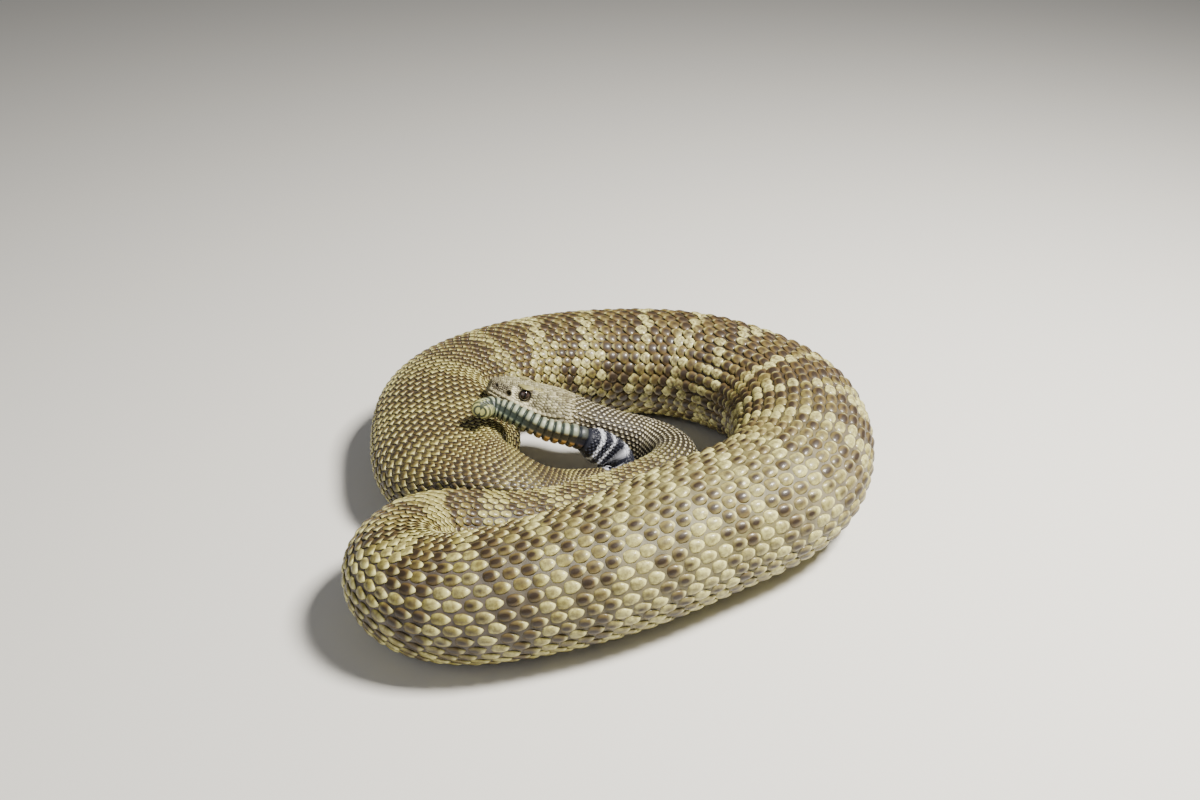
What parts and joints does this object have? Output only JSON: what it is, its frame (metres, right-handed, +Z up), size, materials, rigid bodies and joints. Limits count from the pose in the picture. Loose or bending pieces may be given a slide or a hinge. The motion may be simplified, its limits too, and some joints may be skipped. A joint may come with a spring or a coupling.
{
  "type": "western diamondback rattlesnake",
  "caption": "Life-size still model of a western diamondback rattlesnake resting in a flat coil, head laid over a coil and rattle raised.",
  "frame": {"origin": "middle of the coil's outline on the floor that the belly rests on", "axes": "+Z up, -Y toward the viewer of the picture, -X the way the snout points"},
  "size_m": [0.2528, 0.259, 0.0598],
  "materials": {
    "scaled_skin": "satin keeled scales, tan with dark brown blotches",
    "head_skin": "satin, finely stippled grey-green and tan",
    "tail_skin": "satin, blue-black with ragged white bands",
    "eye_gloss": "wet gloss, dark brown",
    "rattle_horn": "dry horn, olive with dark grooves"
  },
  "bodies": {
    "root": {"head": "head_skin", "lower_jaw": "head_skin", "eye_left": "eye_gloss", "eye_right": "eye_gloss", "neck": "scaled_skin", "body_1": "scaled_skin", "body_2": "scaled_skin", "body_3": "scaled_skin", "body_4": "scaled_skin", "body_5": "scaled_skin", "body_6": "scaled_skin", "body_7": "scaled_skin", "body_8": "scaled_skin", "body_9": "scaled_skin", "body_10": "scaled_skin", "tail": "tail_skin", "rattle": "rattle_horn"}
  },
  "joints": []
}
